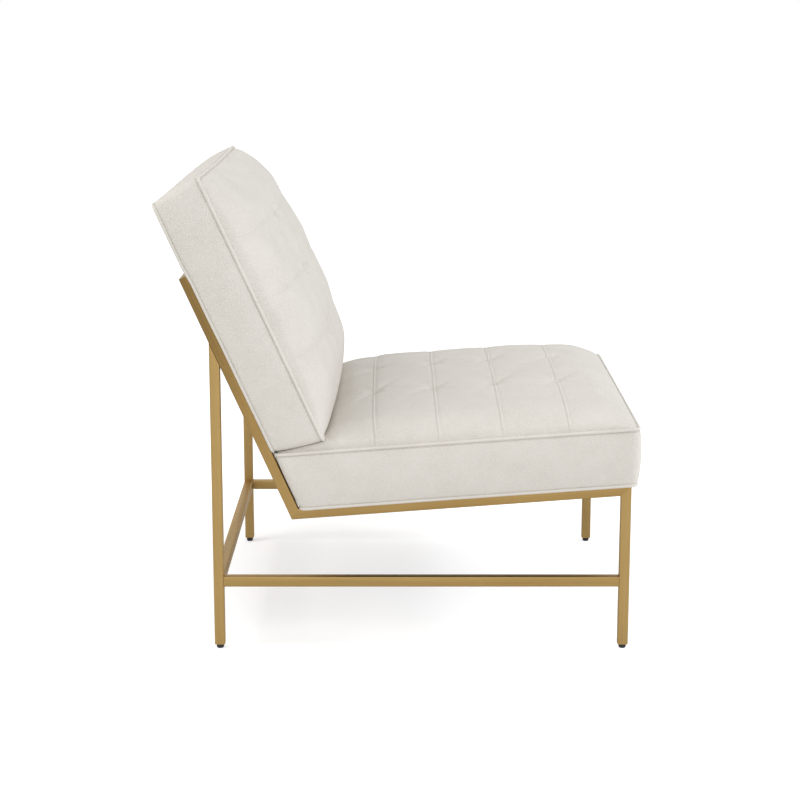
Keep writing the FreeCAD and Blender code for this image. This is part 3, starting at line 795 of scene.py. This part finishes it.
# %% How the filling lifts the panel
def rolled_height(cushion, side, head, tail):
    """How high the filling lifts spots at these distances from the sides and the two ends."""
    power = cushion["corner_power"]
    rise = np.clip(side / cushion["run"], 0, 1)
    roll = (1 - (1 - rise) ** power) ** (1 / power)
    inner = np.clip((side - 0.35 * cushion["run"]) / (PATH_HALF_WIDTH - 60.0), 0, 1)
    full = cushion["shoulder"] * roll
    full = full + (cushion["crown"] - cushion["shoulder"]) * np.sin(inner * math.pi / 2)
    return full * (eased(cushion["head"], head) * eased(cushion["tail"], tail))


def pressed_height(cushion, side, q):
    """The height that is left where the other cushion leans on the panel."""
    near_cord = np.clip(side / 14.0, 0, 1)
    return table(cushion["pressed"], q) * near_cord * (2 - near_cord)


# %% [markdown]
# A seam isn't quite straight. The tufts pull it towards the cushion's first end, and it turns
# a little as it comes down over the sides.

# %% Seam lines
def seam_line(cushion, index, x):
    """Where one sewn seam runs."""
    ends = np.exp(-(PATH_HALF_WIDTH - np.abs(x)) / 30.0)
    pulled = np.exp(-((np.abs(x) - cushion["column"]) / 14.0) ** 2)
    lean = cushion["seam_lean"][index] * x / PATH_HALF_WIDTH
    return cushion["seams"][index] + lean + 3.0 * ends - 1.2 * pulled


def from_seams(cushion, x, q):
    """How far spots lie from every seam and from the nearest one, and which one that is."""
    count = len(cushion["seams"])
    offsets = np.stack([q - seam_line(cushion, index, x) for index in range(count)])
    nearest = np.abs(offsets).argmin(axis=0)
    offset = np.take_along_axis(offsets, nearest[None], axis=0)[0]
    return offsets, offset, nearest


# %% [markdown]
# Soft leather puckers where a tuft pulls it down: furrows fan out from the tuft into the
# pillows on both sides. Real ones differ, so each tuft turns and stretches its fan a little,
# by sines of its number instead of random draws, which keeps every run the same.

# %% Creases at the tufts
PUCKERS = (
    (54.0, 98.0, 8.0, 1.2), (14.0, 54.0, 6.5, 0.4), (122.0, 66.0, 8.0, 0.7),
    (-60.0, 58.0, 7.5, 0.5), (-122.0, 94.0, 7.5, 0.9), (-164.0, 50.0, 6.5, 0.4),
)


def crease(across, along, length, width):
    """A furrow of unit depth that starts at nothing, runs along and fades out."""
    fade = np.clip(along / 4.0, 0, 1) * np.clip(1 - along / length, 0, 1) ** 0.9
    furrow = np.exp(-(across / width) ** 2)
    lip = np.exp(-((across - 2.6 * width) / (1.6 * width)) ** 2)
    return (0.45 * lip - furrow) * fade


def tuft_creases(cushion, away, offset, turn):
    """The puckers of one tuft. Each has an angle in degrees, a length, a width and a depth."""
    total = 0.0
    for number, (angle, length, width, depth) in enumerate(PUCKERS):
        slant = math.radians(angle + 7.0 * math.sin(2.3 * turn + 1.7 * number))
        along = away * math.sin(slant) + offset * math.cos(slant)
        across = offset * math.sin(slant) - away * math.cos(slant)
        length = length * (1 + 0.2 * math.sin(1.9 * turn + number))
        total = total + depth * crease(across, along, length, width)
    return cushion["crease"] * total


# %% [markdown]
# The channels and tufts are taken off the height that the filling gives, and shade is painted
# into the leather along the piping, beside each seam and in the tufts. Between two seams a
# column of tufts pulls a shallow valley along, which fades out beyond the first and the last
# seam.

# %% The tufted panel's height
def panel_height(cushion, x, q):
    """How high the panel stands, its share of the full crown and the shade painted into it."""
    depth = table(cushion["upper"], MIDDLE)
    side = np.maximum(PATH_HALF_WIDTH - np.abs(x), 0.0)
    head = np.maximum(q - cushion["first"](depth), 0.0)
    tail = np.maximum(cushion["last"](depth) - q, 0.0)
    height = rolled_height(cushion, side, head, tail)
    filled = np.clip(height / cushion["crown"], 0, 1)
    height = (np.maximum(height, 0) ** 4 + pressed_height(cushion, side, q) ** 4) ** 0.25

    offsets, offset, nearest = from_seams(cushion, x, q)
    gap = np.abs(offset)
    last_seam = len(cushion["seams"]) - 1
    half_pitch = (cushion["seams"][1] - cushion["seams"][0]) / 2
    closeness = np.clip(1 - gap / half_pitch, 0, 1)
    near_side = np.clip(side / 45.0, 0, 1)
    height = height - cushion["channel"] * closeness ** 2.3 * near_side * (2 - near_side)
    column = np.abs(np.abs(x) - cushion["column"])
    outside = (offset < 0) & (nearest == 0) | (offset > 0) & (nearest == last_seam)
    strength = np.where(outside, np.exp(-gap / 42.0), 0.25 + 0.75 * closeness ** 1.6)
    height = height - 0.42 * cushion["tuft"] * np.exp(-(column / 20.0) ** 2) * strength
    knot = np.hypot(column * 0.9, gap)
    height = height - 0.58 * cushion["tuft"] * np.exp(-(knot / 17.0) ** 1.25)
    for sign in (-1.0, 1.0):
        away = x - sign * cushion["column"]
        for index, from_seam in enumerate(offsets):
            height = height + tuft_creases(cushion, away, from_seam, index + 2 * sign)

    at_rim = np.clip(side / 5.0, 0, 1)
    ridge = cushion["ridge"] * np.exp(-(gap / 1.25) ** 2)
    groove = cushion["groove"] * np.exp(-(gap / 4.5) ** 2)
    height = height + (ridge - groove) * at_rim
    # Painted shade: along the piping, on one side of each seam, more so near the sides, and in
    # each tuft.
    edge = np.minimum(side, np.minimum(head, tail))
    painted_shade = cushion["cord_painted_shade"] * np.exp(-(edge / 4.2) ** 2)
    near_rim = 1 + 1.4 * np.exp(-side / 60.0)
    behind_seam = np.exp(-((offset + 2.8) / 1.3) ** 2)
    painted_shade = painted_shade + cushion["seam_painted_shade"] * behind_seam * near_rim * at_rim
    painted_shade = painted_shade + 0.3 * np.exp(-(knot / 7.0) ** 2)
    return np.maximum(height, 0.0), filled, np.clip(painted_shade, 0, 1)


# %% [markdown]
# An even grid fine enough for a 2.5 mm fold would be heavy everywhere. So the grid's lines
# gather where the form is tight, at the rims, the seams and the tufts, and spread between.

# %% Grid lines of the panel
FROM_RIM = np.array([0.0, 2.0, 4.4, 7.2, 10.5, 14.5, 19.0])
FROM_SEAM = np.array([0.0, 1.1, 2.0, 3.2, 5.0, 7.5, 10.5, 14.0, 18.0, 22.5])
INSIDE_RIM = 24.0
OPEN_STEP = 8.0


def grid_lines(cushion):
    """Where the grid's lines lie across and along, as shares of the width and length."""
    depth = table(cushion["upper"], MIDDLE)
    length = cushion["last"](depth) - cushion["first"](depth)
    half = list(np.linspace(0.0, 84.0, 10)) + list(np.linspace(88.0, 168.0, 21))
    half += list(np.linspace(177.0, PATH_HALF_WIDTH - INSIDE_RIM, 21))
    half += list(PATH_HALF_WIDTH - FROM_RIM[::-1])
    half = [place / PATH_HALF_WIDTH for place in half]
    across = np.array([-share for share in reversed(half[1:])] + half)
    lines = list(FROM_RIM) + list(length - FROM_RIM)
    stops = [INSIDE_RIM]
    for seam in cushion["seams"]:
        place = seam - cushion["first"](depth)
        lines += list(place + FROM_SEAM) + list(place - FROM_SEAM)
        stops += [place - FROM_SEAM[-1], place + FROM_SEAM[-1]]
    stops.append(length - INSIDE_RIM)
    for low, high in zip(stops[::2], stops[1::2]):
        count = max(int(round((high - low) / OPEN_STEP)), 1)
        lines += list(np.linspace(low, high, count + 1))
    along = np.unique(np.round(lines, 4)) / length
    print(f"{cushion['name']}: {len(across)} lines across, {len(along)} along")
    return across, along


# %% [markdown]
# The block is an ordinary closed mesh, made with grids and extrusions. Its flat spots already
# say where each vertex belongs on the cushion, as shares across, along and down the boxing.

# %% The block that becomes a cushion
BOXING_SHARES = (
    0, 0.02, 0.038, 0.058, 0.10, 0.19, 0.33, 0.5, 0.67, 0.81, 0.90, 0.942, 0.962, 0.98, 1,
)
BOXING_ROWS = len(BOXING_SHARES) - 1


def cushion_block(cushion):
    """The closed grid that becomes a cushion, with each vertex's share across and along."""
    across, along = grid_lines(cushion)
    deselect()
    bpy.ops.mesh.primitive_grid_add(
        x_subdivisions=len(across) - 1, y_subdivisions=len(along) - 1, size=2,
    )
    piece = bpy.context.active_object
    piece.name = f"{cushion['name']}_cushion"
    bpy.ops.object.mode_set(mode="EDIT")
    bpy.ops.mesh.select_all(action="SELECT")
    bpy.ops.mesh.region_to_loop()
    for row in range(BOXING_ROWS):
        bpy.ops.mesh.extrude_edges_move(
            TRANSFORM_OT_translate={"value": (0, 0, -1.0 / BOXING_ROWS)}
        )
    bpy.ops.mesh.primitive_grid_add(
        x_subdivisions=len(across) - 1, y_subdivisions=len(along) - 1, size=2,
        location=(0, 0, -1),
    )
    bpy.ops.mesh.select_all(action="SELECT")
    bpy.ops.mesh.remove_doubles(threshold=0.0001)
    bpy.ops.object.mode_set(mode="OBJECT")
    spots = spots_of(piece)
    columns = (spots[:, 0] + 1) / 2 * (len(across) - 1)
    rows = (spots[:, 1] + 1) / 2 * (len(along) - 1)
    shares = np.interp(columns, np.arange(len(across)), across)
    places = np.interp(rows, np.arange(len(along)), along)
    down = np.interp(-spots[:, 2] * BOXING_ROWS, np.arange(BOXING_ROWS + 1), BOXING_SHARES)
    return piece, shares, places, down


# %% [markdown]
# The edges of all three pieces are tucked in under the piping. From there the boxing swells
# out with the filling, and beside each seam it is drawn in, where a line of shade is painted
# into the leather.

# %% Stuffing a cushion
TUCK = 1.6
# Where the line of painted shade on the boxing beside each seam lies, and how wide it is.
PAINTED_LINE_AT = 3.6
PAINTED_LINE_WIDTH = 1.7


def stuff_cushion(cushion):
    """Move the block's vertices to the sewn and stuffed form. Returns the piece."""
    piece, across, along, down = cushion_block(cushion)
    rim = (np.abs(np.abs(across) - 1) < 1e-6) | (along < 1e-6) | (along > 1 - 1e-6)
    panel = down < 1e-6
    below = down > 1 - 1e-6
    top = plan_at_seam(cushion, across, along, "upper", -TUCK)[2]
    base = plan_at_seam(cushion, across, along, "lower", -TUCK)[2]
    depth = top - down * (top - base)
    from_seam = np.minimum(down, 1 - down) * (top - base)
    swell = 1 - np.abs(1 - 2 * down) ** 2.2
    swell = np.where(panel | below, 0.0, swell)
    over_cord = 2 * TUCK * np.clip(from_seam / 5.0, 0, 1)
    grow = over_cord - TUCK + (WELT + cushion["bulge"] - TUCK) * swell
    grow = np.where(panel & ~rim, -2 * TUCK, grow)
    x, q = plan(cushion, across, along, depth, grow, swell)
    height, filled, painted_shade = panel_height(cushion, x, q)
    # A line of painted shade runs along the boxing beside each seam, stronger at the upper one.
    painted_seam_line = np.exp(-((from_seam - PAINTED_LINE_AT) / PAINTED_LINE_WIDTH) ** 2)
    painted_shade = np.where(panel, painted_shade, painted_seam_line * np.where(down < 0.5, 0.7, 0.35))
    crown_level = top + (table(cushion["upper"], MIDDLE) - top) * filled
    depth = np.where(panel & ~rim, crown_level + np.maximum(height, 1.0), depth)
    depth = np.where(below & ~rim, table(cushion["base"], q), depth)
    move_spots(piece, cushion["place"](x, q, depth))
    piece.data.attributes.new("painted_shade", "FLOAT", "POINT").data.foreach_set("value", painted_shade)
    pick(piece)
    bpy.ops.object.mode_set(mode="EDIT")
    bpy.ops.mesh.select_all(action="SELECT")
    bpy.ops.mesh.normals_make_consistent(inside=False)
    bpy.ops.object.mode_set(mode="OBJECT")
    bpy.ops.object.shade_smooth()
    return piece


# %% [markdown]
# One level of subdivision rounds what the grid leaves angular. Each cushion then stands for
# its covers and its foam.

# %% Seat and back cushions
seat_cushion = stuff_cushion(SEAT)
back_cushion = stuff_cushion(BACK)
for piece in (seat_cushion, back_cushion):
    piece.modifiers.new("Smooth", "SUBSURF").levels = 1
    apply_modifiers(piece)
finish_piece(seat_cushion, leather, [
    "seat_top_panel", "seat_boxing_cover", "seat_foam_block", "seat_foam_topper",
])
finish_piece(back_cushion, leather, [
    "back_front_panel", "back_boxing_cover", "back_rear_panel", "back_foam_block",
    "back_foam_topper",
])

# %% [markdown]
# The piping is a cord sewn into a strip of the same leather, with a finer grain and a
# painted highlight in its colour. It runs round each cushion twice, along the plan's edge at
# the two seams of the boxing. A curve with a round bevel gives it, and its spots lie closer
# together at the corners.

# %% Piping
CORNER_SPOTS = 10
SIDE_SPOTS = 120


def along_side(corner):
    """Places from 0 to 1 along one side, whose corners take this share at each end."""
    return np.concatenate([
        np.linspace(0, corner, CORNER_SPOTS, endpoint=False),
        np.linspace(corner, 1 - corner, SIDE_SPOTS, endpoint=False),
        np.linspace(1 - corner, 1, CORNER_SPOTS, endpoint=False),
    ])


def outline(cushion, level):
    """Spots round the cushion's plan at the height of one seam, in order."""
    depth = table(cushion[level], MIDDLE)
    run = 2 * along_side(0.9 * CORNER / PATH_HALF_WIDTH) - 1
    climb = along_side(1.8 * CORNER / (cushion["last"](depth) - cushion["first"](depth)))
    ones = np.ones_like(run)
    across = np.concatenate([run, ones, -run, -ones])
    along = np.concatenate([0 * ones, climb, ones, 1 - climb])
    return cushion["place"](*plan_at_seam(cushion, across, along, level, 0.0))


def make_cord(name, spots, radius):
    """A round cord in a closed loop along spots in metres, as a mesh."""
    data = bpy.data.curves.new(name, "CURVE")
    data.dimensions = "3D"
    data.bevel_depth = radius * MM
    data.bevel_resolution = 3
    line = data.splines.new("POLY")
    line.points.add(len(spots) - 1)
    line.points.foreach_set("co", np.column_stack([spots, np.ones(len(spots))]).ravel())
    line.use_cyclic_u = True
    cord = bpy.data.objects.new(name, data)
    bpy.context.scene.collection.objects.link(cord)
    pick(cord)
    bpy.ops.object.convert(target="MESH")
    bpy.ops.object.shade_smooth()
    return bpy.context.active_object


def make_piping(cushion, level):
    """The piping of one seam, which stands for its CAD node."""
    cord = make_cord(f"{cushion['name']}_{level}_piping", outline(cushion, level), WELT)
    finish_piece(cord, piping_leather, [f"{cushion['name']}_{level}_welt"])


for cushion in (SEAT, BACK):
    make_piping(cushion, "lower")
    make_piping(cushion, "upper")

# %% [markdown]
# Below the seat a black cloth keeps the dust out. It is stapled along its edge, so it hangs
# in shallow scallops between the staples and sags a little in the middle. Stretched this
# tight it hardly moves, so its waves are a formula and its size comes from the CAD lining.

# %% Dust cloth below the seat
SAG = 0.9
SCALLOP = 0.35
LOWEST = 1.2
cad_lining = spots_of(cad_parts["seat_dust_lining"]) / MM - BEND
lining_along = cad_lining[:, 2] * math.sin(SLOPE) - cad_lining[:, 1] * math.cos(SLOPE)
lining_depth = cad_lining[:, 2] * math.cos(SLOPE) + cad_lining[:, 1] * math.sin(SLOPE)
half_width = cad_lining[:, 0].max()
rear_end, front_end = lining_along.min(), lining_along.max()
deselect()
bpy.ops.mesh.primitive_grid_add(x_subdivisions=80, y_subdivisions=64, size=2)
dust_cloth = bpy.context.active_object
dust_cloth.name = "seat_dust_cloth"
flat = spots_of(dust_cloth)
u, v = flat[:, 0], flat[:, 1]
sag = SAG * (1 - u ** 2) * (1 - v ** 2)
scallop = SCALLOP * np.abs(np.sin(u * math.pi * 9)) * v ** 6
scallop = scallop + SCALLOP * np.abs(np.sin(v * math.pi * 7)) * u ** 6
cloth_along = rear_end + (v + 1) / 2 * (front_end - rear_end)
cloth_depth = lining_depth.max() - 0.1 - np.minimum(sag + scallop, LOWEST)
move_spots(dust_cloth, on_seat(u * half_width, cloth_along, cloth_depth))
pick(dust_cloth)
bpy.ops.object.shade_smooth()
finish_piece(dust_cloth, lining, ["seat_dust_lining"])
2 * half_width * MM
(front_end - rear_end) * MM

# %% [markdown]
# Every CAD node gets its finish here. Glides, screws, nuts, inserts and boards keep their own
# shape, and the nodes that a piece above stands for are hidden.

# %% Finishes of the CAD nodes
FINISHES = (
    ("glide_socket", zinc), ("glide", nylon), ("board_screws", zinc), ("board_nuts", zinc),
    ("board", plywood), ("foam", foam), ("lining", lining), ("panel", leather),
    ("cover", leather), ("welt", piping_leather),
)
for node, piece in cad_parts.items():
    finish = next((material for word, material in FINISHES if word in node), brass_upright)
    piece.data.materials.clear()
    piece.data.materials.append(finish)
print(f"{len(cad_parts)} CAD nodes have a finish")

# %% [markdown]
# The chair stands on a plain white floor that runs to the horizon. A matt floor alone renders
# grey, so where the camera sees it, a glow lifts it to white. The glow is weaker in a patch
# under the chair, which paints a shadow there over the chair's own soft shadow.

# %% Floor
PAINTED_SHADOW_MIDDLE = (0.08, 0.2, 0.0)
deselect()
bpy.ops.mesh.primitive_grid_add(x_subdivisions=8, y_subdivisions=8, size=80)
floor = bpy.context.active_object
floor.name = "studio_floor"
floor_material = bpy.data.materials.new("white_floor")
floor_material.use_nodes = True
tree = floor_material.node_tree
tree.nodes.clear()
matt = add_node(tree, "ShaderNodeBsdfDiffuse", {}, {"Color": (0.86, 0.86, 0.86, 1)})
glow = add_node(tree, "ShaderNodeEmission", {}, {"Color": (1, 1, 1, 1), "Strength": 0.6})
lit = add_node(tree, "ShaderNodeAddShader", {}, (matt, glow))
seen = add_node(tree, "ShaderNodeLightPath", output="Is Camera Ray")
# Under the chair the glow's share falls, which paints a shadow on the floor.
reach = add_node(
    tree, "ShaderNodeVectorMath", {"operation": "DISTANCE"},
    (object_coordinates(tree, (0.4, 1.0, 1.0)), PAINTED_SHADOW_MIDDLE), output="Value",
)
lifted = add_node(
    tree, "ShaderNodeMapRange", {"interpolation_type": "SMOOTHSTEP"},
    {"Value": reach, "From Min": 0.1, "From Max": 0.42, "To Min": 0.52, "To Max": 1.0},
)
mixed = add_node(tree, "ShaderNodeMixShader", {}, (seen * lifted, matt, lit))
surface = tree.nodes.new("ShaderNodeOutputMaterial")
tree.links.new(mixed.socket, surface.inputs["Surface"])
floor.data.materials.append(floor_material)

# %% [markdown]
# The surround of a bright studio is white all round. It looks full white to the camera and
# in the brass, but lights the leather less, so that the lamps can shape the cushions.

# %% White surround
world = bpy.data.worlds.new("Studio")
bpy.context.scene.world = world
world.use_nodes = True
tree = world.node_tree
tree.nodes.clear()
even = add_node(tree, "ShaderNodeBackground", {}, {"Color": (1, 1, 1, 1), "Strength": 0.66})
white = add_node(tree, "ShaderNodeBackground", {}, {"Color": (1, 1, 1, 1), "Strength": 1.0})
seen = add_node(tree, "ShaderNodeLightPath", output="Is Camera Ray")
mirrored = add_node(tree, "ShaderNodeLightPath", output="Is Glossy Ray")
background = add_node(
    tree, "ShaderNodeMixShader", {}, (seen.math("MAXIMUM", mirrored), even, white),
)
surface = tree.nodes.new("ShaderNodeOutputWorld")
tree.links.new(background.socket, surface.inputs["Surface"])

# %% [markdown]
# One large soft lamp stands high in front of the chair, a weaker one beside the camera, and
# one above and behind it that lights the back cushion's top.

# %% Lamps
def add_lamp(name, place, target, size, power, tint=(1.0, 1.0, 1.0)):
    """A square soft lamp that points at a spot."""
    data = bpy.data.lights.new(name, "AREA")
    data.shape = "SQUARE"
    data.color = tint
    data.size = size
    data.energy = power
    lamp = bpy.data.objects.new(name, data)
    lamp.location = place
    lamp.rotation_euler = (Vector(target) - Vector(place)).to_track_quat("-Z", "Y").to_euler()
    bpy.context.scene.collection.objects.link(lamp)


add_lamp("KeyLamp", (-0.8, -3.6, 1.9), (0, 0, 0.45), 2.2, 68.0, (0.98, 1.0, 1.07))
add_lamp("FillLamp", (-4.0, 0.6, 1.7), (0, 0, 0.45), 2.5, 30.0)
add_lamp("RearLamp", (-0.6, 2.4, 2.9), (0, 0, 0.6), 1.6, 34.0)
bpy.context.scene.view_settings.view_transform = "Standard"
print("3 lamps")
